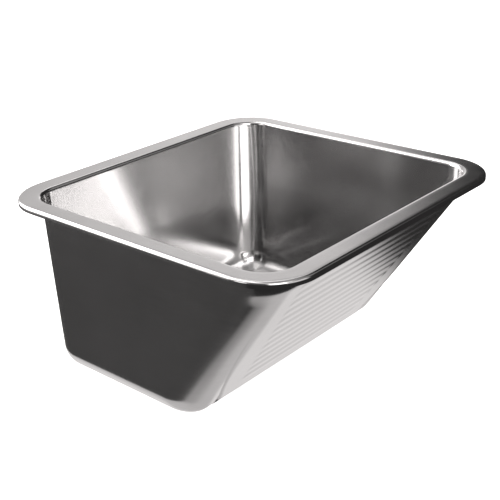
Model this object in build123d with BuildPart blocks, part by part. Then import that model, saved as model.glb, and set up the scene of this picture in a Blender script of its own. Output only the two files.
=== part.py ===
"""Drop-in laundry bowl with a washboard front wall and a basket-strainer waste.

One pressed steel bowl hangs by its rim in a worktop cut-out.  Its front wall slopes in
and is ribbed as a washboard.  A waste with a lift-out strainer basket and a push-down
stopper is clamped in the recess of the floor, and ends in a tail held by a union nut.

Frame, in millimetres: +Z up, Z = 0 is the worktop that the rim rests on, X runs along
the washboard wall, the washboard faces -Y, and X = Y = 0 is the middle of the rim.
"""
import os
from math import cos, radians, sin, tan

from build123d import *

os.makedirs("parts", exist_ok=True)

# ---------------------------------------------------------------- bowl
SHEET = 0.8                      # steel thickness
RIM_X, RIM_Y = 507.6, 480.6      # overall size of the rim
RIM_H = 8.0                      # height of the rolled edge above the worktop
RIM_EDGE_R = 3.8                 # outer radius of the rolled edge
RIM_CORNER_R = 68.8
MOUTH_X, MOUTH_Y = 451.0, 416.0  # inside size of the bowl just under its rim
MOUTH_EDGE_R = 5.5               # radius from the flat rim into the walls
CORNER_R = 41.0                  # inside radius of the upright corners
DEPTH = 259.2                    # inside depth, from the top of the rim
END_DRAFT = 1.9                  # lean of the two end walls, degrees
BACK_DRAFT = 1.5                 # lean of the back wall, degrees
FRONT_UPRIGHT = 27.4             # height of the upright band above the washboard
FRONT_SLOPE = 33.8               # lean of the washboard wall, degrees
BREAK_R = 30.0                   # radius between the upright band and the washboard
FLOOR_R = 36.0                   # radius between the walls and the floor
FLOOR_Z = RIM_H - DEPTH

# ---------------------------------------------------------------- washboard ribs
RIB_COUNT = 12
RIB_PITCH = 19.7                 # spacing, measured down the slope
RIB_FIRST = 16.0                 # first crest, measured down the slope
RIB_R = 24.0                     # section radius, inside the sheet
RIB_PROUD = 0.6                  # how far a rib stands out of the wall
RIB_HALF_TOP = 152.0             # half length of a rib at the head of the slope, without its ends
RIB_TAPER = 0.14                 # half length lost for each millimetre down the slope

# ---------------------------------------------------------------- drain in the floor
DRAIN_Y = 68.0                   # drain centre, behind the middle of the rim
RECESS_R, RECESS_DEPTH = 60.0, 5.0
RECESS_EDGE_R = 1.6              # smallest radius pressed into the recess
DRAIN_HOLE_R = 45.0

# ---------------------------------------------------------------- seals
GAP = 0.3                        # space between pieces that move on each other
RIM_SEAL_WIDTH = 9.0
SEAL_INNER_R, SEAL_OUTER_R = 46.0, 56.0
TOP_SEAL_H = 1.5
GASKET_H, GASKET_BEVEL = 3.0, 0.5

# ---------------------------------------------------------------- waste dish, pressed
DISH_SHEET = 1.2
DISH_R = 56.5
DISH_CUP_R = 40.0                # inside radius of the upper cup
DISH_CUP_DEPTH = 27.0            # from the flange down to the stopper's seat
DISH_WELL_R = 29.0               # inside radius of the lower well
DISH_WELL_DEPTH = 9.0
DISH_BEND_R = 2.2                # radius of its bends, at the middle of the sheet
DISH_SLOTS, DISH_SLOT_RING_R = 6, 16.5
DISH_SLOT_LENGTH, DISH_SLOT_WIDTH = 15.0, 6.0

# ---------------------------------------------------------------- waste body, moulded
BODY_CUP_R, BODY_WALL = 43.5, 3.0
BODY_FLANGE_R, BODY_FLANGE_H = 57.0, 5.0
BODY_FLOOR = -48.0               # foot of the cup, below the bowl's floor
BODY_CONE = 6.0                  # fall of the cup's floor towards the outlet
OUTLET_R, OUTLET_BORE_R = 23.9, 19.0
OUTLET_LENGTH = 10.0
BODY_FINS = 12                   # fins under the flange
FIN_LENGTH, FIN_WIDTH = 5.0, 3.0
BOSS_R, BOSS_H = 9.5, 12.0
SPIDER_ARMS, ARM_WIDTH = 4, 3.0
ARM_DROP = 2.0                   # how far an arm's top lies below the boss's top

# ---------------------------------------------------------------- clamping screw and nut
SCREW_R, SCREW_LENGTH = 3.0, 17.0
SCREW_HEAD_R, SCREW_HEAD_H = 5.5, 3.2
SCREW_HEAD_ROUND = 1.2           # bevel round the head
SCREW_TIP = 0.8                  # bevel at the point
CROSS_LENGTH, CROSS_WIDTH, CROSS_DEPTH = 5.6, 1.2, 2.0
SCREW_PLAY = 0.05
NUT_FLATS, NUT_H = 10.0, 5.0

# ---------------------------------------------------------------- tail, washer and union nut
WASHER_H = 2.0
TAIL_R, TAIL_WALL = 20.0, 2.3
TAIL_ROOT_R, TAIL_ROOT_SHOW = 20.4, 0.5   # thicker root, and how much of it shows under the nut
TAIL_FLANGE_R, TAIL_FLANGE_H = 23.4, 2.0
TAIL_DROP = 15.5                 # length of tail that shows under the union nut
TAIL_BEVEL = 0.8
UNION_R, UNION_LIP = 27.5, 2.5
UNION_PLAY = 0.1
UNION_COVER = 8.0                # length of the outlet's thread inside the union nut
UNION_RIDGES, RIDGE_R = 16, 1.8

# ---------------------------------------------------------------- strainer basket
BASKET_SHEET = 0.8
BASKET_RIM_R, BASKET_R = 45.0, 38.0
BASKET_DEPTH = 15.0
BASKET_BEND_R = 2.0              # radius of its bends, at the middle of the sheet
HOLE_R = 1.7
HOLE_RINGS = 4                   # rings of holes in the floor
HOLE_RING_FIRST, HOLE_RING_STEP = 11.5, 6.0
HOLES_FIRST, HOLES_STEP = 10, 5  # holes in the first ring, and more in each one after it
SIDE_SLOTS, SIDE_SLOT_WIDTH, SIDE_SLOT_H = 24, 3.0, 6.0
HUB_R, HUB_BORE_R, HUB_H = 6.4, 3.08, 6.0
RING_BORE_R, RING_R, RING_H = 3.05, 4.6, 2.4

# ---------------------------------------------------------------- stopper
STEM_R = 3.0
STEM_IN_KNOB = 7.0
STEM_GROOVE_R = 2.3              # groove that the clip sits in
STEM_TIP, STEM_TIP_BEVEL = 1.4, 0.8
KNOB_R, KNOB_H = 10.0, 12.0
KNOB_FOOT_R, KNOB_NECK_R = 5.5, 6.5
KNOB_NECK_H, KNOB_WIDE_H = 4.0, 8.5
STOPPER_R, STOPPER_H = 34.0, 3.0
STOPPER_BEVEL = 2.0              # bevel round the top
STOPPER_RELIEF = 0.6             # how far the underside is cut back inside its ring
STOPPER_TRAVEL = 8.5
CLIP_R, CLIP_H = 6.5, 0.8
CLIP_MOUTH = 3.0                 # opening of the clip

# Heights at the drain, measured from the inside of the bowl's floor.
SEAT_Z = -RECESS_DEPTH                               # floor of the recess
DISH_UNDER = SEAT_Z + TOP_SEAL_H                     # underside of the dish's flange
DISH_TOP = DISH_UNDER + DISH_SHEET
STOPPER_SEAT = DISH_TOP - DISH_CUP_DEPTH             # top of the stopper's seat
WELL_FLOOR = STOPPER_SEAT - DISH_WELL_DEPTH          # top of the slotted plate
BODY_TOP = SEAT_Z - SHEET - GASKET_H                 # top of the body's flange
FLANGE_UNDER = BODY_TOP - BODY_FLANGE_H
OUTLET_TOP = BODY_FLOOR - BODY_CONE
OUTLET_END = OUTLET_TOP - OUTLET_LENGTH
WASHER_UNDER = OUTLET_END - WASHER_H
TAIL_FLANGE_UNDER = WASHER_UNDER - TAIL_FLANGE_H
UNION_FOOT = TAIL_FLANGE_UNDER - UNION_LIP
UNION_TOP = OUTLET_END + UNION_COVER
TAIL_ROOT_END = UNION_FOOT - TAIL_ROOT_SHOW
TAIL_END = UNION_FOOT - TAIL_DROP
BASKET_UNDER = DISH_TOP + GAP                        # underside of the basket's rim
BASKET_FLOOR = BASKET_UNDER - BASKET_DEPTH           # underside of the basket's floor
HUB_TOP = BASKET_FLOOR + BASKET_SHEET + HUB_H
STOPPER_TOP = STOPPER_SEAT + GAP + STOPPER_TRAVEL + STOPPER_H
STOPPER_UNDER = STOPPER_TOP - STOPPER_H
CLIP_UNDER = STOPPER_UNDER - CLIP_H
KNOB_UNDER = HUB_TOP + STOPPER_TRAVEL + GAP
KNOB_TOP = KNOB_UNDER + KNOB_H
BOSS_TOP = WELL_FLOOR - DISH_SHEET
BOSS_UNDER = BOSS_TOP - BOSS_H
NUT_TOP = BOSS_TOP - NUT_H

# The drain's own section plane: its x is the radius and its y the height above the floor.
DRAIN_PLANE = Plane(origin=(0, DRAIN_Y, FLOOR_Z), x_dir=(1, 0, 0), z_dir=(0, -1, 0))
DRAIN_AXIS = Axis((0, DRAIN_Y, 0), (0, 0, 1))


def drain_level(height):
    """A level plane centred on the drain, at a height above the bowl's floor."""
    return Plane(origin=(0, DRAIN_Y, FLOOR_Z + height))


def radial_section(*points):
    """A closed outline of (radius, height) points, ready to turn about the drain's axis."""
    with BuildSketch(DRAIN_PLANE) as outline:
        with BuildLine():
            Polyline(*points, close=True)
        make_face()
    return outline.sketch


def rim_form(inset):
    """The rim as a solid block, with its sides and top moved in by inset."""
    with BuildPart() as form:
        with BuildSketch(Plane.XY):
            RectangleRounded(RIM_X - 2 * inset, RIM_Y - 2 * inset, RIM_CORNER_R - inset)
        extrude(amount=RIM_H - inset)
        fillet(form.faces().sort_by(Axis.Z)[-1].edges(), RIM_EDGE_R - inset)
    return form.part


def bowl_form(grow, top):
    """The bowl as a solid up to the height top, with its walls and floor moved out by grow."""
    half_x = MOUTH_X / 2 + grow
    front = -MOUTH_Y / 2 - grow
    back = MOUTH_Y / 2 + grow
    floor = FLOOR_Z - grow
    slope = radians(FRONT_SLOPE)
    lean = radians(END_DRAFT)
    back_lean = tan(radians(BACK_DRAFT))
    break_z = RIM_H - FRONT_UPRIGHT - grow * tan(slope / 2)
    floor_front = front + (break_z - floor) * tan(slope)

    with BuildPart() as form:
        # Side view of the bowl, drawn out sideways and cut back to the leaning end walls.
        with BuildSketch(Plane.YZ):
            with BuildLine():
                Polyline(
                    (front, top),
                    (front, break_z),
                    (floor_front, floor),
                    (back - (RIM_H - floor) * back_lean, floor),
                    (back - (RIM_H - top) * back_lean, top),
                    close=True,
                )
            make_face()
        extrude(amount=half_x, both=True)
        for side in (-1, 1):
            wall = Plane(origin=(side * half_x, 0, RIM_H), z_dir=(side * cos(lean), 0, -sin(lean)))
            split(bisect_by=wall, keep=Keep.BOTTOM)

        # The break above the washboard, then the four upright corners, then the floor.
        front_edges = form.edges().filter_by(Axis.X).sort_by(Axis.Y)[:2]
        fillet(front_edges.sort_by(Axis.Z)[0], BREAK_R)
        level_faces = form.faces().filter_by(Axis.Z)
        level_edges = level_faces.edges() + form.edges().filter_by(Axis.X)
        fillet(form.edges() - level_edges, CORNER_R + grow)
        fillet(form.faces().sort_by(Axis.Z)[0].edges(), FLOOR_R + grow)

        # Each washboard rib is a long capsule, sunk in the wall until it stands just proud.
        sink = RIB_R - RIB_PROUD
        for index in range(RIB_COUNT):
            down = RIB_FIRST + index * RIB_PITCH
            half = RIB_HALF_TOP - RIB_TAPER * (down - RIB_FIRST)
            y = -MOUTH_Y / 2 + down * sin(slope) + sink * cos(slope)
            z = RIM_H - FRONT_UPRIGHT - down * cos(slope) + sink * sin(slope)
            with Locations((0, y, z)):
                Cylinder(RIB_R + grow, 2 * half, rotation=(0, 90, 0))
            with Locations((-half, y, z), (half, y, z)):
                Sphere(RIB_R + grow)

        # The round recess in the floor that the waste sits in.
        with BuildSketch(drain_level(-RECESS_DEPTH - grow)):
            Circle(RECESS_R + grow)
        extrude(amount=RECESS_DEPTH + SHEET)
        fillet(form.faces().sort_by(Axis.Z)[0].edges(), RECESS_EDGE_R + grow)
        corner = form.edges().filter_by(GeomType.CIRCLE).filter_by_position(Axis.Z, floor, floor)
        fillet(corner, RECESS_EDGE_R + SHEET - grow)
    return form.part


def mouth_edges(part, height):
    """The edges round the bowl's mouth at a height, without those of the rim's outer edge."""
    level = part.edges().filter_by_position(Axis.Z, height, height)
    across = level.filter_by_position(Axis.X, -MOUTH_X / 2 - SHEET, MOUTH_X / 2 + SHEET)
    return across.filter_by_position(Axis.Y, -MOUTH_Y / 2 - SHEET, MOUTH_Y / 2 + SHEET)


# ================================================================ bowl
with BuildPart() as bowl:
    add(rim_form(0))
    add(rim_form(SHEET), mode=Mode.SUBTRACT)
    add(bowl_form(SHEET, RIM_H - SHEET))
    fillet(mouth_edges(bowl, RIM_H - SHEET), MOUTH_EDGE_R - SHEET)
    add(bowl_form(0, RIM_H), mode=Mode.SUBTRACT)
    fillet(mouth_edges(bowl, RIM_H), MOUTH_EDGE_R)
    with BuildSketch(drain_level(-RECESS_DEPTH - SHEET)):
        Circle(DRAIN_HOLE_R)
    extrude(amount=2 * SHEET, mode=Mode.SUBTRACT)
bowl.part.label = "bowl"
export_step(bowl.part, "parts/bowl.step")

# ================================================================ rim seal
# A foam strip that fills the underside of the rim, level with the foot of its rolled edge.
with BuildPart() as rim_seal:
    seal_x, seal_y = RIM_X - 2 * RIM_EDGE_R, RIM_Y - 2 * RIM_EDGE_R
    seal_corner = RIM_CORNER_R - RIM_EDGE_R
    with BuildSketch(Plane.XY):
        RectangleRounded(seal_x, seal_y, seal_corner)
        RectangleRounded(
            seal_x - 2 * RIM_SEAL_WIDTH,
            seal_y - 2 * RIM_SEAL_WIDTH,
            seal_corner - RIM_SEAL_WIDTH,
            mode=Mode.SUBTRACT,
        )
    extrude(amount=RIM_H - SHEET)
rim_seal.part.label = "rim_seal"
export_step(rim_seal.part, "parts/rim_seal.step")

# ================================================================ waste seals
def flat_ring(height, thickness):
    """The outline of both seals' ring, raised from a height above the bowl's floor."""
    with BuildPart() as ring:
        with BuildSketch(drain_level(height)):
            Circle(SEAL_OUTER_R)
            Circle(SEAL_INNER_R, mode=Mode.SUBTRACT)
        extrude(amount=thickness)
    return ring.part


with BuildPart() as top_seal:
    add(flat_ring(SEAT_Z, TOP_SEAL_H))
top_seal.part.label = "top_seal"
export_step(top_seal.part, "parts/top_seal.step")

with BuildPart() as lower_gasket:
    add(flat_ring(BODY_TOP, GASKET_H))
    chamfer(lower_gasket.edges().sort_by(SortBy.LENGTH)[-2:], GASKET_BEVEL)
lower_gasket.part.label = "lower_gasket"
export_step(lower_gasket.part, "parts/lower_gasket.step")

# ================================================================ waste dish
# Pressed from one sheet: flange, upper cup, stopper seat, lower well and slotted plate.
with BuildPart() as waste_dish:
    middle = DISH_SHEET / 2
    with BuildSketch(DRAIN_PLANE):
        with BuildLine():
            FilletPolyline(
                (DISH_R, DISH_UNDER + middle),
                (DISH_CUP_R + middle, DISH_UNDER + middle),
                (DISH_CUP_R + middle, STOPPER_SEAT - middle),
                (DISH_WELL_R + middle, STOPPER_SEAT - middle),
                (DISH_WELL_R + middle, WELL_FLOOR - middle),
                (0, WELL_FLOOR - middle),
                radius=DISH_BEND_R,
            )
        trace(line_width=DISH_SHEET)
    revolve(axis=DRAIN_AXIS)
    with BuildSketch(drain_level(WELL_FLOOR - DISH_SHEET)):
        Circle(SCREW_R + GAP)
        with PolarLocations(DISH_SLOT_RING_R, DISH_SLOTS):
            SlotOverall(DISH_SLOT_LENGTH, DISH_SLOT_WIDTH)
    extrude(amount=DISH_SHEET, mode=Mode.SUBTRACT)
waste_dish.part.label = "waste_dish"
export_step(waste_dish.part, "parts/waste_dish.step")

# ================================================================ waste body
with BuildPart() as waste_body:
    cup_outer = BODY_CUP_R + BODY_WALL
    outline = radial_section(
        (BODY_CUP_R, BODY_TOP),
        (BODY_FLANGE_R, BODY_TOP),
        (BODY_FLANGE_R, FLANGE_UNDER),
        (cup_outer, FLANGE_UNDER),
        (cup_outer, BODY_FLOOR),
        (OUTLET_R, OUTLET_TOP),
        (OUTLET_R, OUTLET_END),
        (OUTLET_BORE_R, OUTLET_END),
        (OUTLET_BORE_R, OUTLET_TOP + BODY_WALL),
        (BODY_CUP_R, BODY_FLOOR + BODY_WALL),
    )
    revolve(outline, axis=DRAIN_AXIS)

    # Fins that stiffen the flange and give a hand hold.
    with BuildSketch(drain_level(BODY_FLOOR)):
        with PolarLocations(cup_outer + FIN_LENGTH / 2 - BODY_WALL / 2, BODY_FINS):
            Rectangle(FIN_LENGTH, FIN_WIDTH)
    extrude(amount=FLANGE_UNDER - BODY_FLOOR)

    # The spider that carries the screw's boss in the middle of the water way.
    with BuildSketch(drain_level(BOSS_UNDER)):
        Circle(BOSS_R)
    extrude(amount=BOSS_H)
    with BuildSketch(drain_level(BOSS_UNDER)):
        with PolarLocations((BOSS_R + BODY_CUP_R) / 2, SPIDER_ARMS):
            Rectangle(BODY_CUP_R - BOSS_R + BODY_WALL / 2, ARM_WIDTH)
    extrude(amount=BOSS_H - ARM_DROP)
    with BuildSketch(drain_level(BOSS_UNDER)):
        Circle(SCREW_R + SCREW_PLAY)
    extrude(amount=BOSS_H, mode=Mode.SUBTRACT)
    with BuildSketch(drain_level(BOSS_UNDER)):
        RegularPolygon(NUT_FLATS / 2, 6, major_radius=False)
    extrude(amount=NUT_TOP - BOSS_UNDER, mode=Mode.SUBTRACT)
waste_body.part.label = "waste_body"
export_step(waste_body.part, "parts/waste_body.step")

# ================================================================ clamping screw and nut
with BuildPart() as centre_screw:
    head_top = WELL_FLOOR + SCREW_HEAD_H
    screw_end = WELL_FLOOR - SCREW_LENGTH
    outline = radial_section(
        (0, head_top),
        (SCREW_HEAD_R - SCREW_HEAD_ROUND, head_top),
        (SCREW_HEAD_R, head_top - SCREW_HEAD_ROUND),
        (SCREW_HEAD_R, WELL_FLOOR),
        (SCREW_R, WELL_FLOOR),
        (SCREW_R, screw_end + SCREW_TIP),
        (SCREW_R - SCREW_TIP, screw_end),
        (0, screw_end),
    )
    revolve(outline, axis=DRAIN_AXIS)
    with BuildSketch(drain_level(head_top)):
        Rectangle(CROSS_LENGTH, CROSS_WIDTH)
        Rectangle(CROSS_WIDTH, CROSS_LENGTH)
    extrude(amount=-CROSS_DEPTH, mode=Mode.SUBTRACT)
centre_screw.part.label = "centre_screw"
export_step(centre_screw.part, "parts/centre_screw.step")

with BuildPart() as screw_nut:
    with BuildSketch(drain_level(NUT_TOP - NUT_H)):
        RegularPolygon(NUT_FLATS / 2, 6, major_radius=False)
        Circle(SCREW_R + SCREW_PLAY, mode=Mode.SUBTRACT)
    extrude(amount=NUT_H)
screw_nut.part.label = "screw_nut"
export_step(screw_nut.part, "parts/screw_nut.step")

# ================================================================ tail, washer and union nut
with BuildPart() as tail_washer:
    with BuildSketch(drain_level(WASHER_UNDER)):
        Circle(TAIL_FLANGE_R)
        Circle(OUTLET_BORE_R, mode=Mode.SUBTRACT)
    extrude(amount=WASHER_H)
tail_washer.part.label = "tail_washer"
export_step(tail_washer.part, "parts/tail_washer.step")

with BuildPart() as outlet_tail:
    outline = radial_section(
        (TAIL_R - TAIL_WALL, WASHER_UNDER),
        (TAIL_FLANGE_R, WASHER_UNDER),
        (TAIL_FLANGE_R, TAIL_FLANGE_UNDER),
        (TAIL_ROOT_R, TAIL_FLANGE_UNDER),
        (TAIL_ROOT_R, TAIL_ROOT_END),
        (TAIL_R, TAIL_ROOT_END),
        (TAIL_R, TAIL_END + TAIL_BEVEL),
        (TAIL_R - TAIL_BEVEL, TAIL_END),
        (TAIL_R - TAIL_WALL, TAIL_END),
    )
    revolve(outline, axis=DRAIN_AXIS)
outlet_tail.part.label = "outlet_tail"
export_step(outlet_tail.part, "parts/outlet_tail.step")

with BuildPart() as union_nut:
    with BuildSketch(drain_level(UNION_FOOT)):
        Circle(UNION_R)
        with PolarLocations(UNION_R, UNION_RIDGES):
            Circle(RIDGE_R)
    extrude(amount=UNION_TOP - UNION_FOOT)
    with BuildSketch(drain_level(TAIL_FLANGE_UNDER)):
        Circle(OUTLET_R + UNION_PLAY)
    extrude(amount=UNION_TOP - TAIL_FLANGE_UNDER, mode=Mode.SUBTRACT)
    with BuildSketch(drain_level(UNION_FOOT)):
        Circle(TAIL_ROOT_R + GAP)
    extrude(amount=UNION_LIP, mode=Mode.SUBTRACT)
union_nut.part.label = "union_nut"
export_step(union_nut.part, "parts/union_nut.step")

# ================================================================ strainer basket
with BuildPart() as strainer_basket:
    middle = BASKET_SHEET / 2
    with BuildSketch(DRAIN_PLANE):
        with BuildLine():
            FilletPolyline(
                (BASKET_RIM_R, BASKET_UNDER + middle),
                (BASKET_R - middle, BASKET_UNDER + middle),
                (BASKET_R - middle, BASKET_FLOOR + middle),
                (HUB_BORE_R, BASKET_FLOOR + middle),
                radius=BASKET_BEND_R,
            )
        trace(line_width=BASKET_SHEET)
    revolve(axis=DRAIN_AXIS)

    # Holes in the floor, ring by ring, and slots round the side.
    with BuildSketch(drain_level(BASKET_FLOOR)):
        for ring in range(HOLE_RINGS):
            with PolarLocations(HOLE_RING_FIRST + ring * HOLE_RING_STEP, HOLES_FIRST + ring * HOLES_STEP):
                Circle(HOLE_R)
    extrude(amount=BASKET_SHEET, mode=Mode.SUBTRACT)
    with Locations(drain_level(BASKET_FLOOR + BASKET_DEPTH / 2)):
        with PolarLocations(BASKET_R, SIDE_SLOTS):
            Box(4 * BASKET_SHEET, SIDE_SLOT_WIDTH, SIDE_SLOT_H, mode=Mode.SUBTRACT)

    # The hub that guides the stopper's stem, with a pocket for the friction ring.
    with BuildSketch(drain_level(BASKET_FLOOR)):
        Circle(HUB_R)
        Circle(HUB_BORE_R, mode=Mode.SUBTRACT)
    extrude(amount=BASKET_SHEET + HUB_H)
    with BuildSketch(drain_level(HUB_TOP)):
        Circle(RING_R)
    extrude(amount=-RING_H, mode=Mode.SUBTRACT)
strainer_basket.part.label = "strainer_basket"
export_step(strainer_basket.part, "parts/strainer_basket.step")

with BuildPart() as friction_ring:
    with BuildSketch(drain_level(HUB_TOP - RING_H)):
        Circle(RING_R)
        Circle(RING_BORE_R, mode=Mode.SUBTRACT)
    extrude(amount=RING_H)
friction_ring.part.label = "friction_ring"
export_step(friction_ring.part, "parts/friction_ring.step")

# ================================================================ stopper
with BuildPart() as stopper_stem:
    outline = radial_section(
        (0, KNOB_UNDER + STEM_IN_KNOB),
        (STEM_R, KNOB_UNDER + STEM_IN_KNOB),
        (STEM_R, STOPPER_UNDER),
        (STEM_GROOVE_R, STOPPER_UNDER),
        (STEM_GROOVE_R, CLIP_UNDER),
        (STEM_R, CLIP_UNDER),
        (STEM_R, CLIP_UNDER - STEM_TIP + STEM_TIP_BEVEL),
        (STEM_R - STEM_TIP_BEVEL, CLIP_UNDER - STEM_TIP),
        (0, CLIP_UNDER - STEM_TIP),
    )
    revolve(outline, axis=DRAIN_AXIS)
stopper_stem.part.label = "stopper_stem"
export_step(stopper_stem.part, "parts/stopper_stem.step")

with BuildPart() as stopper_knob:
    neck = (KNOB_NECK_R, KNOB_UNDER + KNOB_NECK_H)
    widest = (KNOB_R, KNOB_UNDER + KNOB_WIDE_H)
    with BuildSketch(DRAIN_PLANE):
        with BuildLine():
            Polyline((0, KNOB_TOP), (0, KNOB_UNDER), (KNOB_FOOT_R, KNOB_UNDER), neck)
            Spline(neck, widest, (0, KNOB_TOP), tangents=((0, 1), (-1, 0)))
        make_face()
    revolve(axis=DRAIN_AXIS)
    with BuildSketch(drain_level(KNOB_UNDER)):
        Circle(STEM_R)
    extrude(amount=STEM_IN_KNOB, mode=Mode.SUBTRACT)
stopper_knob.part.label = "stopper_knob"
export_step(stopper_knob.part, "parts/stopper_knob.step")

with BuildPart() as stopper_seal:
    outline = radial_section(
        (STEM_R, STOPPER_TOP),
        (STOPPER_R - STOPPER_BEVEL, STOPPER_TOP),
        (STOPPER_R, STOPPER_TOP - STOPPER_BEVEL),
        (STOPPER_R, STOPPER_UNDER),
        (DISH_WELL_R + STOPPER_RELIEF, STOPPER_UNDER),
        (DISH_WELL_R, STOPPER_UNDER + STOPPER_RELIEF),
        (CLIP_R + 2 * STOPPER_RELIEF, STOPPER_UNDER + STOPPER_RELIEF),
        (CLIP_R + STOPPER_RELIEF, STOPPER_UNDER),
        (STEM_R, STOPPER_UNDER),
    )
    revolve(outline, axis=DRAIN_AXIS)
stopper_seal.part.label = "stopper_seal"
export_step(stopper_seal.part, "parts/stopper_seal.step")

with BuildPart() as stem_clip:
    with BuildSketch(drain_level(CLIP_UNDER)):
        Circle(CLIP_R)
        Circle(STEM_GROOVE_R, mode=Mode.SUBTRACT)
        with Locations((CLIP_R, 0)):
            Rectangle(2 * CLIP_R, CLIP_MOUTH, mode=Mode.SUBTRACT)
    extrude(amount=CLIP_H)
stem_clip.part.label = "stem_clip"
export_step(stem_clip.part, "parts/stem_clip.step")
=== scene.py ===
"""Looks of the drop-in laundry bowl.

A finer sheet stands in for the CAD bowl, and every other piece keeps its CAD mesh with a
procedural finish.  Then come the floor, the studio light and the camera.
"""

import math

import bpy
from mathutils import Matrix, Vector


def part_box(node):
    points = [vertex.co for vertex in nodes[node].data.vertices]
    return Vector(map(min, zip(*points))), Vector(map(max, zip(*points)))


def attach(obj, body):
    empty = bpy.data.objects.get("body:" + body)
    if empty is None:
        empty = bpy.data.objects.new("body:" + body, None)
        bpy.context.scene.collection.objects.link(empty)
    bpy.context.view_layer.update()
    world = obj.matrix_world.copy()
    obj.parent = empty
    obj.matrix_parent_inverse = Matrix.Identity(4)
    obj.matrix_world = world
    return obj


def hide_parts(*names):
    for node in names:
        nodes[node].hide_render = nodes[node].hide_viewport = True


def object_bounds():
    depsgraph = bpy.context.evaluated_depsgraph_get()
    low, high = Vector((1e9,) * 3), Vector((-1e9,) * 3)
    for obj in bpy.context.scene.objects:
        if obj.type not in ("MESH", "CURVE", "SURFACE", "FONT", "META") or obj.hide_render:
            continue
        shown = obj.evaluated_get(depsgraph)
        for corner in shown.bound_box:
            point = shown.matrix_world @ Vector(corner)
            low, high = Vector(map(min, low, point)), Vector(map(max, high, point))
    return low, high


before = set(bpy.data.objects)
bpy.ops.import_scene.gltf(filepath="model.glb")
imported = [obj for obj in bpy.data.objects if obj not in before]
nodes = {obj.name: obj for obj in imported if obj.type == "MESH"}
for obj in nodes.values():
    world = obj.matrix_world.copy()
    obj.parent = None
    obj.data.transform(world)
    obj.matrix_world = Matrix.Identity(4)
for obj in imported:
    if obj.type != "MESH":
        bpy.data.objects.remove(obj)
cad_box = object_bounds()

MM = 0.001

# ---------------------------------------------------------------- the bowl's driving sizes
# The outer sizes come from the CAD node.  The rest repeats the CAD source's values.
BOWL_LOW, BOWL_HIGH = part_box("bowl")
SHEET = 0.8 * MM
RIM_TOP = BOWL_HIGH.z
RIM_HALF_X, RIM_HALF_Y = BOWL_HIGH.x, BOWL_HIGH.y
RIM_CORNER_R = 68.8 * MM
RIM_EDGE_R = 3.8 * MM
MOUTH_HALF_X, MOUTH_HALF_Y = 225.5 * MM, 208.0 * MM
MOUTH_EDGE_R = 5.5 * MM
CORNER_R = 41.0 * MM
RECESS_DEPTH = 5.0 * MM
FLOOR = BOWL_LOW.z + SHEET + RECESS_DEPTH
FLOOR_R = 36.0 * MM
END_LEAN = math.radians(1.9)
BACK_LEAN = math.radians(1.5)
SLOPE = math.radians(33.8)
UPRIGHT = 27.4 * MM
BREAK_R = 30.0 * MM
CORNER_CHANGE = 34.0 * MM      # height over which the front corners change from upright to sloping
FOOT_BULGE = 0.25              # share by which the front corners bulge at their foot
RECESS_R = 60.0 * MM
RECESS_EDGE_R = 1.6 * MM
DRAIN_HOLE_R = 45.0 * MM
RIB_COUNT = 12
RIB_PITCH = 19.7 * MM
RIB_FIRST = 16.0 * MM
RIB_HALF_TOP = 152.0 * MM
RIB_TAPER = 0.14
RIB_PROUD = 0.5 * MM
RIB_HALF_WIDTH = 9.4 * MM

DISH_LOW, DISH_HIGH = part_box("waste_dish")
DRAIN = (DISH_LOW + DISH_HIGH) / 2


# ---------------------------------------------------------------- the bowl's section
def tangent(radius, turn):
    """Length from a corner to where a radius that turns by an angle begins."""
    return radius * math.tan(turn / 2)


def wall_shift(z, lean):
    """How far a leaning wall has moved in at height z, with its mouth and floor radii."""
    fall = RIM_TOP - z
    shift = fall * math.tan(lean)
    turn = math.pi / 2 - lean
    if fall < MOUTH_EDGE_R * (1 - math.cos(turn)):
        angle = math.acos(1 - fall / MOUTH_EDGE_R)
        return MOUTH_EDGE_R * math.sin(angle) - tangent(MOUTH_EDGE_R, turn)
    rise = z - FLOOR
    if rise < FLOOR_R * (1 - math.cos(turn)):
        angle = math.acos(1 - rise / FLOOR_R)
        reach = (RIM_TOP - FLOOR) * math.tan(lean) + tangent(FLOOR_R, turn)
        return reach - FLOOR_R * math.sin(angle)
    return shift


BREAK_Z = RIM_TOP - UPRIGHT
BREAK_T = tangent(BREAK_R, SLOPE)


def front_shift(z):
    """How far the washboard wall has moved in at height z."""
    turn = math.pi / 2 - SLOPE
    rise = z - FLOOR
    if z > BREAK_Z + BREAK_T:
        return wall_shift(z, 0.0)
    if z > BREAK_Z - BREAK_T * math.cos(SLOPE):
        angle = math.asin((BREAK_Z + BREAK_T - z) / BREAK_R)
        return BREAK_R * (1 - math.cos(angle))
    if rise < FLOOR_R * (1 - math.cos(turn)):
        angle = math.acos(1 - rise / FLOOR_R)
        reach = (BREAK_Z - FLOOR) * math.tan(SLOPE) + tangent(FLOOR_R, turn)
        return reach - FLOOR_R * math.sin(angle)
    return (BREAK_Z - z) * math.tan(SLOPE)


# ---------------------------------------------------------------- loops round the bowl
# Half of the front of a loop runs from its middle to the far end of its corner.  Columns of
# the mesh follow the press line: some to its middle side, four on it, and the rest past it.
MIDDLE_STEPS = [0.0, 0.1, 0.2, 0.3, 0.4, 0.5, 0.58]
MIDDLE_STEPS += [0.64 + 0.0175 * i for i in range(17)]     # closer together where the ribs end
MIDDLE_STEPS += [0.95, 0.975]
FOLD_STEPS = (-1.0, -0.34, 0.34, 1.0)
PAST_COLUMNS = 27
PAST_STEPS = [i / PAST_COLUMNS for i in range(1, PAST_COLUMNS + 1)]
PLAIN_STEPS = [-1 + i / 7 for i in range(15)]      # along half of a plain side, each way from its middle
CORNER_FACETS = 60                                 # pieces of the curve that the front columns lie on
BACK_CORNER = 14                                   # columns round a back corner

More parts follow.
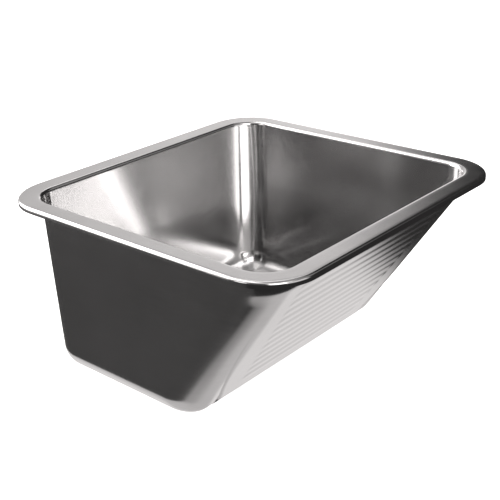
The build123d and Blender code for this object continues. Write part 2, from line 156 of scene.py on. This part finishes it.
PRESS_LENGTH = 262 * MM        # foot of the press line, measured down the slope
PRESS_HEAD = 15 * MM           # how far round the corner its head is, from the corner's start
PRESS_FOOT = -20 * MM          # and its foot, which lies before the corner
PRESS_CURVE = 3.7              # power of the curve between them
PRESS_DEPTH = 1.5 * MM
PRESS_START, PRESS_FULL = 0.15, 1.0                # shares of its length where it begins and is deepest
PRESS_END = 14 * MM            # it runs out this far into the floor's radius
FOLD_HALF_WIDTH = 0.8 * MM
FOLD_FADE = 24 * MM            # width over which the corner comes back to the wall


def fold_place(down):
    """How far round the corner the press line is, at a distance down the slope."""
    t = min(1.0, max(0.0, down / PRESS_LENGTH))
    return PRESS_HEAD - (PRESS_HEAD - PRESS_FOOT) * t ** PRESS_CURVE


def corner_points(centre, rx, ry, start, steps):
    """Points of a quarter turn, without its two ends."""
    made = []
    for i in range(1, steps):
        angle = start + math.pi / 2 * i / steps
        made.append((centre[0] + rx * math.cos(angle), centre[1] + ry * math.sin(angle)))
    return made


def front_path(half_x, front, rx, ry):
    """Half of a loop's front with its corner, as points and the length to each."""
    path = [(0.0, front), (half_x - rx, front)]
    path += corner_points((half_x - rx, front + ry), rx, ry, -math.pi / 2, CORNER_FACETS)
    path.append((half_x, front + ry))
    lengths = [0.0]
    for (x0, y0), (x1, y1) in zip(path, path[1:]):
        lengths.append(lengths[-1] + math.hypot(x1 - x0, y1 - y0))
    return path, lengths


def between(xs, ys, x):
    """The value at x of a line through points whose xs rise."""
    for i in range(1, len(xs)):
        if x <= xs[i] or i == len(xs) - 1:
            return ys[i - 1] + (ys[i] - ys[i - 1]) * (x - xs[i - 1]) / (xs[i] - xs[i - 1])


def front_half(half_x, front, rx, ry, fold):
    """The columns of half of a front, as (x, y, length short of the press line).

    fold is how far round the corner the press line is, from the corner's start.
    """
    path, lengths = front_path(half_x, front, rx, ry)
    xs = [p[0] for p in path]
    ys = [p[1] for p in path]
    at = half_x - rx + fold
    low, high = at - FOLD_HALF_WIDTH, at + FOLD_HALF_WIDTH
    stops = [f * low for f in MIDDLE_STEPS]
    stops += [at + f * FOLD_HALF_WIDTH for f in FOLD_STEPS]
    stops += [high + f * (lengths[-1] - high) for f in PAST_STEPS]
    return [(between(lengths, xs, stop), between(lengths, ys, stop), at - stop) for stop in stops]


def loop_points(half_x, front, back, front_r, back_r, fold):
    """A rounded rectangle, anticlockwise from the middle of its front.

    Each point is (x, y, length short of the press line), with None for the length away from
    the front.
    """
    fx, fy = front_r
    bx, by = back_r
    side_low, side_high = front + fy, back - by
    side_mid, side_half = (side_low + side_high) / 2, (side_high - side_low) / 2
    half = front_half(half_x, front, fx, fy, fold)
    ring = [(half_x, side_mid + f * side_half) for f in PLAIN_STEPS[1:]]
    ring += corner_points((half_x - bx, back - by), bx, by, 0.0, BACK_CORNER)
    ring += [(-f * (half_x - bx), back) for f in PLAIN_STEPS]
    ring += corner_points((bx - half_x, back - by), bx, by, math.pi / 2, BACK_CORNER)
    ring += [(-half_x, side_mid - f * side_half) for f in PLAIN_STEPS[:-1]]
    plain = [(x, y, None) for x, y in ring]
    return half + plain + [(-x, y, inside) for x, y, inside in reversed(half[1:])]


def slope_length(z):
    """Distance down the slope from its head to height z."""
    return (BREAK_Z - z) / math.cos(SLOPE)


def wall_loop(z):
    """The bowl's inside at height z, without the ribs and the press line."""
    end = wall_shift(z, END_LEAN)
    back = wall_shift(z, BACK_LEAN)
    front = front_shift(z)
    mouth = max(0.0, -end)
    rise = min(1.0, (z - FLOOR) / FLOOR_R)
    ball = FLOOR_R * math.sqrt(max(0.0, 1 - (1 - rise) ** 2))
    radius = CORNER_R - FLOOR_R + ball + mouth
    stretch = 1 + (1 / math.cos(SLOPE) - 1) * smooth((BREAK_Z + BREAK_T - z) / CORNER_CHANGE)
    foot_bulge = FOOT_BULGE * (CORNER_R / math.cos(SLOPE) - radius) * (1 - rise) * rise
    fold = fold_place(slope_length(z)) * radius / CORNER_R
    return loop_points(MOUTH_HALF_X - end, front - MOUTH_HALF_Y, MOUTH_HALF_Y - back,
                       (radius, radius * stretch + foot_bulge), (radius, radius), fold)


# ---------------------------------------------------------------- ribs and the press line
def bump(t):
    """A smooth hill of height 1 at t = 0 that ends at t = 1."""
    return (1 - t * t) ** 2 if t < 1 else 0.0


def smooth(t):
    """0 below 0, 1 above 1, and smooth between."""
    t = min(1.0, max(0.0, t))
    return t * t * (3 - 2 * t)


def rib_height(x, down):
    """How far the ribs stand out of the washboard wall, at x and a distance down the slope."""
    nearest = round((down - RIB_FIRST) / RIB_PITCH)
    if not 0 <= nearest < RIB_COUNT:
        return 0.0
    crest = RIB_FIRST + nearest * RIB_PITCH
    half = RIB_HALF_TOP - RIB_TAPER * (crest - RIB_FIRST)
    past = max(0.0, abs(x) - half)
    return RIB_PROUD * bump(math.hypot(past, down - crest) / RIB_HALF_WIDTH)


def fold_height(inside, down):
    """How far the press has set the corner back beside the washboard."""
    step = smooth(0.5 - inside / (2 * FOLD_HALF_WIDTH)) * (1 - smooth(-inside / FOLD_FADE))
    along = smooth((down / PRESS_LENGTH - PRESS_START) / (PRESS_FULL - PRESS_START))
    end = smooth((down - PRESS_LENGTH) / PRESS_END)
    return -PRESS_DEPTH * step * along * (1 - end)


def pressed(x, y, z, inside):
    """A point of the washboard wall, moved along the wall's normal by its ribs and folds."""
    down = slope_length(z)
    out = rib_height(x, down) + fold_height(inside, down)
    return (x, y - out * math.cos(SLOPE), z - out * math.sin(SLOPE))


# ---------------------------------------------------------------- the sheet
def grid_object(name, rings):
    """A mesh of closed rings, each joined to the next."""
    count = len(rings[0])
    points = [p for ring in rings for p in ring]
    faces = []
    for r in range(len(rings) - 1):
        for i in range(count):
            j = (i + 1) % count
            faces.append((r * count + i, r * count + j, (r + 1) * count + j, (r + 1) * count + i))
    mesh = bpy.data.meshes.new(name)
    mesh.from_pydata(points, [], faces)
    mesh.update()
    made = bpy.data.objects.new(name, mesh)
    bpy.context.scene.collection.objects.link(made)
    return made


def apply_modifiers(piece):
    """Bakes a piece's modifiers into its mesh."""
    graph = bpy.context.evaluated_depsgraph_get()
    baked = bpy.data.meshes.new_from_object(piece.evaluated_get(graph))
    piece.modifiers.clear()
    old = piece.data
    piece.data = baked
    bpy.data.meshes.remove(old)
    baked.name = piece.name


def shade_smooth(piece, angle):
    """Smooth shading, with edges sharper than an angle kept sharp."""
    piece.data.shade_smooth()
    piece.data.set_sharp_from_angle(angle=math.radians(angle))


def rim_loop(inset, z, radius):
    """A loop of the rim, level at z."""
    loop = loop_points(RIM_HALF_X - inset, inset - RIM_HALF_Y, RIM_HALF_Y - inset,
                       (radius, radius), (radius, radius), PRESS_HEAD * radius / CORNER_R)
    return [(x, y, z) for x, y, inside in loop]


def mixed(a, b, t):
    """A loop part of the way from loop a to loop b."""
    return [tuple(p + (q - p) * t for p, q in zip(m, n)) for m, n in zip(a, b)]


# How many rows of faces each stretch of the sheet has.
EDGE_ROWS, RIM_ROWS, MOUTH_ROWS = 8, 5, 9
UPRIGHT_ROWS, SLOPE_ROWS, FOOT_ROWS = 12, 148, 18
FLOOR_ROWS, RECESS_ROWS = 12, 4
BREAK_DROP = 4 * MM            # the slope's rows begin this far below its head


def bowl_rings():
    """Every loop of the bowl's upper face, from the foot of the rolled edge to the drain hole."""
    rings = [rim_loop(0, (RIM_TOP - RIM_EDGE_R) * i / 2, RIM_CORNER_R) for i in range(2)]
    for i in range(EDGE_ROWS + 1):
        angle = math.pi / 2 * i / EDGE_ROWS
        inset = RIM_EDGE_R * (1 - math.cos(angle))
        rings.append(rim_loop(inset, RIM_TOP - RIM_EDGE_R * (1 - math.sin(angle)), RIM_CORNER_R - inset))

    # The flat of the rim runs from the rolled edge to the first loop of the mouth.
    mouth = [(x, y, RIM_TOP) for x, y, inside in wall_loop(RIM_TOP)]
    outer = rings[-1]
    rings += [mixed(outer, mouth, i / RIM_ROWS) for i in range(1, RIM_ROWS)]
    rings.append(mouth)

    # The mouth's radius, the upright band, the washboard and the radius into the floor.
    heights = [RIM_TOP - MOUTH_EDGE_R * (1 - math.cos(math.pi / 2 * i / MOUTH_ROWS))
               for i in range(1, MOUTH_ROWS)]
    start = RIM_TOP - MOUTH_EDGE_R
    slope_top = BREAK_Z - BREAK_DROP
    slope_foot = FLOOR + FLOOR_R * (1 - math.sin(SLOPE))
    heights += [start + (slope_top - start) * i / UPRIGHT_ROWS for i in range(UPRIGHT_ROWS)]
    heights += [slope_top + (slope_foot - slope_top) * i / SLOPE_ROWS for i in range(SLOPE_ROWS)]
    for i in range(FOOT_ROWS + 1):
        angle = (math.pi / 2 - SLOPE) * (1 - i / FOOT_ROWS)
        heights.append(FLOOR + FLOOR_R * (1 - math.cos(angle)))
    for z in heights:
        rings.append([(x, y, z) if inside is None else pressed(x, y, z, inside)
                      for x, y, inside in wall_loop(z)])

    # The floor closes in to the round recess.
    edge = rings[-1]
    angles = [math.atan2(p[1] - DRAIN.y, p[0] - DRAIN.x) for p in edge]

    def drain_loop(radius, z):
        return [(DRAIN.x + radius * math.cos(a), DRAIN.y + radius * math.sin(a), z) for a in angles]

    brink = drain_loop(RECESS_R + RECESS_EDGE_R, FLOOR)
    rings += [mixed(edge, brink, i / FLOOR_ROWS) for i in range(1, FLOOR_ROWS)]
    for i in range(RECESS_ROWS + 1):
        angle = math.pi / 2 * i / RECESS_ROWS
        rings.append(drain_loop(RECESS_R + RECESS_EDGE_R * (1 - math.sin(angle)),
                                FLOOR - RECESS_EDGE_R * (1 - math.cos(angle))))
    for i in range(RECESS_ROWS + 1):
        angle = math.pi / 2 * i / RECESS_ROWS
        rings.append(drain_loop(RECESS_R - RECESS_EDGE_R * (1 - math.cos(angle)),
                                FLOOR - RECESS_DEPTH + RECESS_EDGE_R * (1 - math.sin(angle))))
    rings += [drain_loop(RECESS_R - (RECESS_R - DRAIN_HOLE_R) * t, FLOOR - RECESS_DEPTH)
              for t in (0.3, 0.6, 1.0)]
    return rings


# ---------------------------------------------------------------- finishes
def material(name):
    """A new material with a Principled shader, and a function that adds nodes to it."""
    made = bpy.data.materials.new(name)
    made.use_nodes = True
    tree = made.node_tree
    shader = tree.nodes["Principled BSDF"]

    def add(kind, **values):
        node = tree.nodes.new(kind)
        for key, value in values.items():
            if hasattr(node, key):
                setattr(node, key, value)
            else:
                node.inputs[key.replace("_", " ")].default_value = value
        return node

    return made, tree.links.new, add, shader


def finish(name, dark, light, rough, grain, grain_depth, metallic=0.0, blotch=30.0, pits=0.0, **fixed):
    """A procedural finish: two tones by blotches and grain, roughness by the same, and a bump.

    grain is the scale of the stretched noise along x, y and z, and pits a finer bump's depth.
    """
    made, link, add, shader = material(name)
    place = add("ShaderNodeTexCoord")
    stretch = add("ShaderNodeMapping", Scale=grain)
    lines = add("ShaderNodeTexNoise", Scale=1.0, Detail=3.0, Roughness=0.6)
    clouds = add("ShaderNodeTexNoise", Scale=blotch, Detail=4.0, Roughness=0.55)
    fine = add("ShaderNodeTexNoise", Scale=2600.0, Detail=2.0, Roughness=0.6)
    link(place.outputs["Object"], stretch.inputs["Vector"])
    link(stretch.outputs["Vector"], lines.inputs["Vector"])
    link(place.outputs["Object"], clouds.inputs["Vector"])
    link(place.outputs["Object"], fine.inputs["Vector"])
    both = add("ShaderNodeMix", data_type="FLOAT")
    both.inputs["Factor"].default_value = 0.45
    link(clouds.outputs["Fac"], both.inputs["A"])
    link(lines.outputs["Fac"], both.inputs["B"])
    tone = add("ShaderNodeValToRGB")
    tone.color_ramp.elements[0].position = 0.32
    tone.color_ramp.elements[0].color = (*dark, 1)
    tone.color_ramp.elements[1].position = 0.68
    tone.color_ramp.elements[1].color = (*light, 1)
    link(both.outputs["Result"], tone.inputs["Fac"])
    link(tone.outputs["Color"], shader.inputs["Base Color"])
    gloss = add("ShaderNodeMapRange")
    gloss.inputs["From Min"].default_value = 0.3
    gloss.inputs["From Max"].default_value = 0.7
    gloss.inputs["To Min"].default_value = rough[0]
    gloss.inputs["To Max"].default_value = rough[1]
    link(both.outputs["Result"], gloss.inputs["Value"])
    link(gloss.outputs["Result"], shader.inputs["Roughness"])
    ridges = add("ShaderNodeBump", Strength=1.0, Distance=grain_depth)
    link(lines.outputs["Fac"], ridges.inputs["Height"])
    last = ridges
    if pits:
        last = add("ShaderNodeBump", Strength=1.0, Distance=pits)
        link(fine.outputs["Fac"], last.inputs["Height"])
        link(ridges.outputs["Normal"], last.inputs["Normal"])
    link(last.outputs["Normal"], shader.inputs["Normal"])
    shader.inputs["Metallic"].default_value = metallic
    for key, value in fixed.items():
        shader.inputs[key.replace("_", " ")].default_value = value
    return made


BOWL_STEEL = finish("bowl_steel", (0.60, 0.598, 0.596), (0.68, 0.678, 0.676), (0.14, 0.18),
                    (24, 24, 700), 0.001 * MM, metallic=1.0, blotch=9.0)
WASTE_STEEL = finish("waste_steel", (0.58, 0.58, 0.575), (0.68, 0.68, 0.67), (0.16, 0.26),
                     (1200, 60, 60), 0.006 * MM, metallic=1.0, blotch=60.0)
SCREW_STEEL = finish("screw_steel", (0.46, 0.46, 0.45), (0.60, 0.60, 0.59), (0.24, 0.36),
                     (90, 90, 4200), 0.02 * MM, metallic=1.0, blotch=220.0)
NUT_BRASS = finish("nut_brass", (0.62, 0.42, 0.17), (0.78, 0.57, 0.27), (0.22, 0.36),
                   (90, 90, 4000), 0.02 * MM, metallic=1.0, blotch=200.0)
KNOB_CHROME = finish("knob_chrome", (0.74, 0.745, 0.75), (0.82, 0.82, 0.825), (0.05, 0.11),
                     (60, 60, 900), 0.002 * MM, metallic=1.0, blotch=90.0)
RUBBER = finish("seal_rubber", (0.016, 0.016, 0.017), (0.034, 0.034, 0.036), (0.55, 0.75),
                (300, 300, 1800), 0.03 * MM, blotch=160.0, pits=0.03 * MM)
FOAM = finish("seal_foam", (0.035, 0.035, 0.038), (0.075, 0.075, 0.080), (0.80, 0.95),
              (700, 700, 900), 0.12 * MM, blotch=240.0, pits=0.12 * MM)
BODY_PLASTIC = finish("body_plastic", (0.44, 0.44, 0.42), (0.54, 0.54, 0.51), (0.38, 0.52),
                      (120, 120, 700), 0.02 * MM, blotch=45.0, pits=0.015 * MM)
NUT_PLASTIC = finish("nut_plastic", (0.040, 0.040, 0.043), (0.065, 0.065, 0.070), (0.36, 0.50),
                     (200, 200, 900), 0.02 * MM, blotch=80.0, pits=0.02 * MM)

FINISHES = {
    "waste_dish": WASTE_STEEL,
    "strainer_basket": WASTE_STEEL,
    "centre_screw": SCREW_STEEL,
    "stopper_stem": SCREW_STEEL,
    "stem_clip": SCREW_STEEL,
    "screw_nut": NUT_BRASS,
    "stopper_knob": KNOB_CHROME,
    "top_seal": RUBBER,
    "lower_gasket": RUBBER,
    "tail_washer": RUBBER,
    "friction_ring": RUBBER,
    "stopper_seal": RUBBER,
    "rim_seal": FOAM,
    "waste_body": BODY_PLASTIC,
    "outlet_tail": BODY_PLASTIC,
    "union_nut": NUT_PLASTIC,
}
for node_name, look in FINISHES.items():
    node = nodes[node_name]
    node.data.materials.clear()
    node.data.materials.append(look)

# ---------------------------------------------------------------- the bowl
bowl = grid_object("bowl_sheet", bowl_rings())
thicken = bowl.modifiers.new("sheet", "SOLIDIFY")
thicken.thickness = SHEET
thicken.offset = -1.0
apply_modifiers(bowl)
shade_smooth(bowl, 35)
bowl.data.materials.append(BOWL_STEEL)
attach(bowl, "bowl_unit")
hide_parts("bowl")


# ---------------------------------------------------------------- floor
FLOOR_SIZE = 14.0              # half of the floor's width, in metres
FLOOR_DROP = 1 * MM            # space between the part and the floor
ground = bpy.data.meshes.new("floor")
ground.from_pydata([(-FLOOR_SIZE, -FLOOR_SIZE, 0), (FLOOR_SIZE, -FLOOR_SIZE, 0),
                    (FLOOR_SIZE, FLOOR_SIZE, 0), (-FLOOR_SIZE, FLOOR_SIZE, 0)], [], [(0, 1, 2, 3)])
floor = bpy.data.objects.new("floor", ground)
floor.location.z = cad_box[0].z - FLOOR_DROP
bpy.context.scene.collection.objects.link(floor)
floor_look, link, add, shader = material("floor_paper")
place = add("ShaderNodeTexCoord")
paper = add("ShaderNodeTexNoise", Scale=7.0, Detail=5.0)
tone = add("ShaderNodeValToRGB")
tone.color_ramp.elements[0].color = (0.84, 0.84, 0.84, 1)
tone.color_ramp.elements[1].color = (0.88, 0.88, 0.88, 1)
link(place.outputs["Object"], paper.inputs["Vector"])
link(paper.outputs["Fac"], tone.inputs["Fac"])
link(tone.outputs["Color"], shader.inputs["Base Color"])
shader.inputs["Roughness"].default_value = 0.9
shader.inputs["Emission Color"].default_value = (1, 1, 1, 1)
shader.inputs["Emission Strength"].default_value = 0.75
ground.materials.append(floor_look)
floor.visible_glossy = False
floor.visible_shadow = False

# ---------------------------------------------------------------- studio light
# A sky of soft panels stands for the studio.  Headings turn from +X towards +Y, and both
# headings and elevations are in degrees.
world = bpy.data.worlds.new("studio")
world.use_nodes = True
bpy.context.scene.world = world
sky = world.node_tree
sky.nodes.clear()


def sky_node(kind, **values):
    node = sky.nodes.new(kind)
    for key, value in values.items():
        setattr(node, key, value)
    return node


def sky_math(operation, first, second=None):
    """One maths node, whose inputs are sockets or numbers."""
    node = sky_node("ShaderNodeMath", operation=operation)
    for socket, value in zip(node.inputs, (first, second)):
        if value is None:
            continue
        if isinstance(value, (int, float)):
            socket.default_value = value
        else:
            sky.links.new(value, socket)
    return node.outputs[0]


def sky_step(value, low, high, bottom=0.0, top=1.0):
    """bottom where a value is under low, top where it is over high, and smooth between."""
    node = sky_node("ShaderNodeMapRange", interpolation_type="SMOOTHSTEP")
    sky.links.new(value, node.inputs["Value"])
    for key, number in (("From Min", low), ("From Max", high), ("To Min", bottom), ("To Max", top)):
        node.inputs[key].default_value = number
    return node.outputs["Result"]


def sky_window(value, low, high, soft):
    """1 between low and high, with soft edges."""
    rise = sky_step(value, low - soft, low + soft)
    fall = sky_step(value, high - soft, high + soft)
    return sky_math("SUBTRACT", rise, fall)


def sky_along(turn, height):
    """How far the direction points along another direction, from -1 to 1."""
    turn, height = math.radians(turn), math.radians(height)
    node = sky_node("ShaderNodeVectorMath", operation="DOT_PRODUCT")
    node.inputs[1].default_value = (math.cos(turn) * math.cos(height), math.sin(turn) * math.cos(height),
                                    math.sin(height))
    sky.links.new(direction, node.inputs[0])
    return node.outputs["Value"]


direction = sky_node("ShaderNodeTexCoord").outputs["Generated"]
split = sky_node("ShaderNodeSeparateXYZ")
sky.links.new(direction, split.inputs[0])
heading = sky_math("DEGREES", sky_math("ARCTAN2", split.outputs["Y"], split.outputs["X"]))
elevation = sky_math("DEGREES", sky_math("ARCSINE", split.outputs["Z"]))

# A white sheet below, tilted away from the camera, and darker on the camera's side.
SHEET_TURN, SHEET_HEIGHT = 58, -67                 # heading and elevation of the sheet's middle
SHEET_HALF_ANGLE, SHEET_SOFT = 38.6, 1.5
DARKEST = 0.03                                     # light from where there is no panel
off_axis = sky_math("DEGREES", sky_math("ARCCOSINE", sky_along(SHEET_TURN, SHEET_HEIGHT)))
sheet_edge = sky_step(off_axis, SHEET_HALF_ANGLE - SHEET_SOFT, SHEET_HALF_ANGLE + SHEET_SOFT, 1.0, 0.0)
level_way = sky_along(SHEET_TURN, 0)
near_side = sky_step(level_way, -0.30, 0.02, 0.22, 0.64)
far_side = sky_step(level_way, 0.36, 0.56, 0.0, 0.20)
sheet_light = sky_math("MULTIPLY", sheet_edge, sky_math("ADD", near_side, far_side))

PANELS = [
    # brightness, heading from, to, softness, elevation from, to, softness
    (0.04, 70, 181, 12, -80, 0, 8),
    (0.38, -181, 181, 0.5, 54, 91, 3),
    (3.00, 84, 140, 3, -14, 20, 6),
    (4.90, 84, 138.5, 3, 20, 80, 6),
    (0.35, 140, 152, 4, 6, 38, 5),
    (1.60, 155, 179, 4, 8, 37, 4),
    (0.45, 140, 181, 5, 41, 52, 4),
    (0.70, 140, 181, 5, 56, 84, 6),
    (0.60, -181, -140, 5, 52, 91, 6),
    (0.06, -181, -140, 2, 0, 42, 3),
    (0.42, -181, -140, 2, 44, 52, 3),
    (0.28, -100, -24, 4, 28, 52, 5),
    (0.50, -140, -100, 4, 46, 56, 4),
    (0.90, 28, 38, 4, -6, 14, 3),
    (0.80, 32, 50, 5, -6, 29, 4),
    (1.70, 30, 48, 3, 32, 42, 3),
    (0.62, 50, 84, 4, -6, 38, 4),
    (1.50, 34, 84, 4, 40, 52, 4),
    (3.20, -138, -104, 4, 6, 46, 5),
    (1.70, -108, -82, 5, 42, 54, 5),
    (0.90, -102, -62, 5, -6, 30, 5),
]
total = sky_math("ADD", sheet_light, DARKEST)
for strength, h_low, h_high, h_soft, e_low, e_high, e_soft in PANELS:
    panel = sky_math("MULTIPLY", sky_window(heading, h_low, h_high, h_soft),
                     sky_window(elevation, e_low, e_high, e_soft))
    total = sky_math("ADD", total, sky_math("MULTIPLY", panel, strength))
light = sky_node("ShaderNodeBackground")
sky.links.new(total, light.inputs["Strength"])
light.inputs["Color"].default_value = (1.0, 0.968, 0.964, 1)
plain = sky_node("ShaderNodeBackground")
plain.inputs["Color"].default_value = (1, 1, 1, 1)
rays = sky_node("ShaderNodeLightPath")
choose = sky_node("ShaderNodeMixShader")
sky.links.new(rays.outputs["Is Camera Ray"], choose.inputs[0])
sky.links.new(light.outputs[0], choose.inputs[1])
sky.links.new(plain.outputs[0], choose.inputs[2])
out = sky_node("ShaderNodeOutputWorld")
sky.links.new(choose.outputs[0], out.inputs["Surface"])
bpy.context.scene.view_settings.view_transform = "Standard"

# ---------------------------------------------------------------- camera
CAMERA_AT = Vector((-0.9560, -0.8131, 0.4574))
AZIMUTH, ELEVATION, ROLL = (math.radians(a) for a in (-49.11, 23.73, -1.47))
back = Vector((math.sin(AZIMUTH) * math.cos(ELEVATION), -math.cos(AZIMUTH) * math.cos(ELEVATION),
               math.sin(ELEVATION)))
forward = -back
right = forward.cross(Vector((0, 0, 1))).normalized()
down = forward.cross(right)
rolled_right = right * math.cos(ROLL) - down * math.sin(ROLL)
rolled_down = right * math.sin(ROLL) + down * math.cos(ROLL)
camera_data = bpy.data.cameras.new("camera")
camera_data.sensor_width = 36.0
camera_data.lens = 69.93
camera_data.clip_end = 60.0
camera = bpy.data.objects.new("camera", camera_data)
bpy.context.scene.collection.objects.link(camera)
turned = Matrix((rolled_right, -rolled_down, back)).transposed().to_4x4()
camera.matrix_world = Matrix.Translation(CAMERA_AT) @ turned
bpy.context.scene.camera = camera
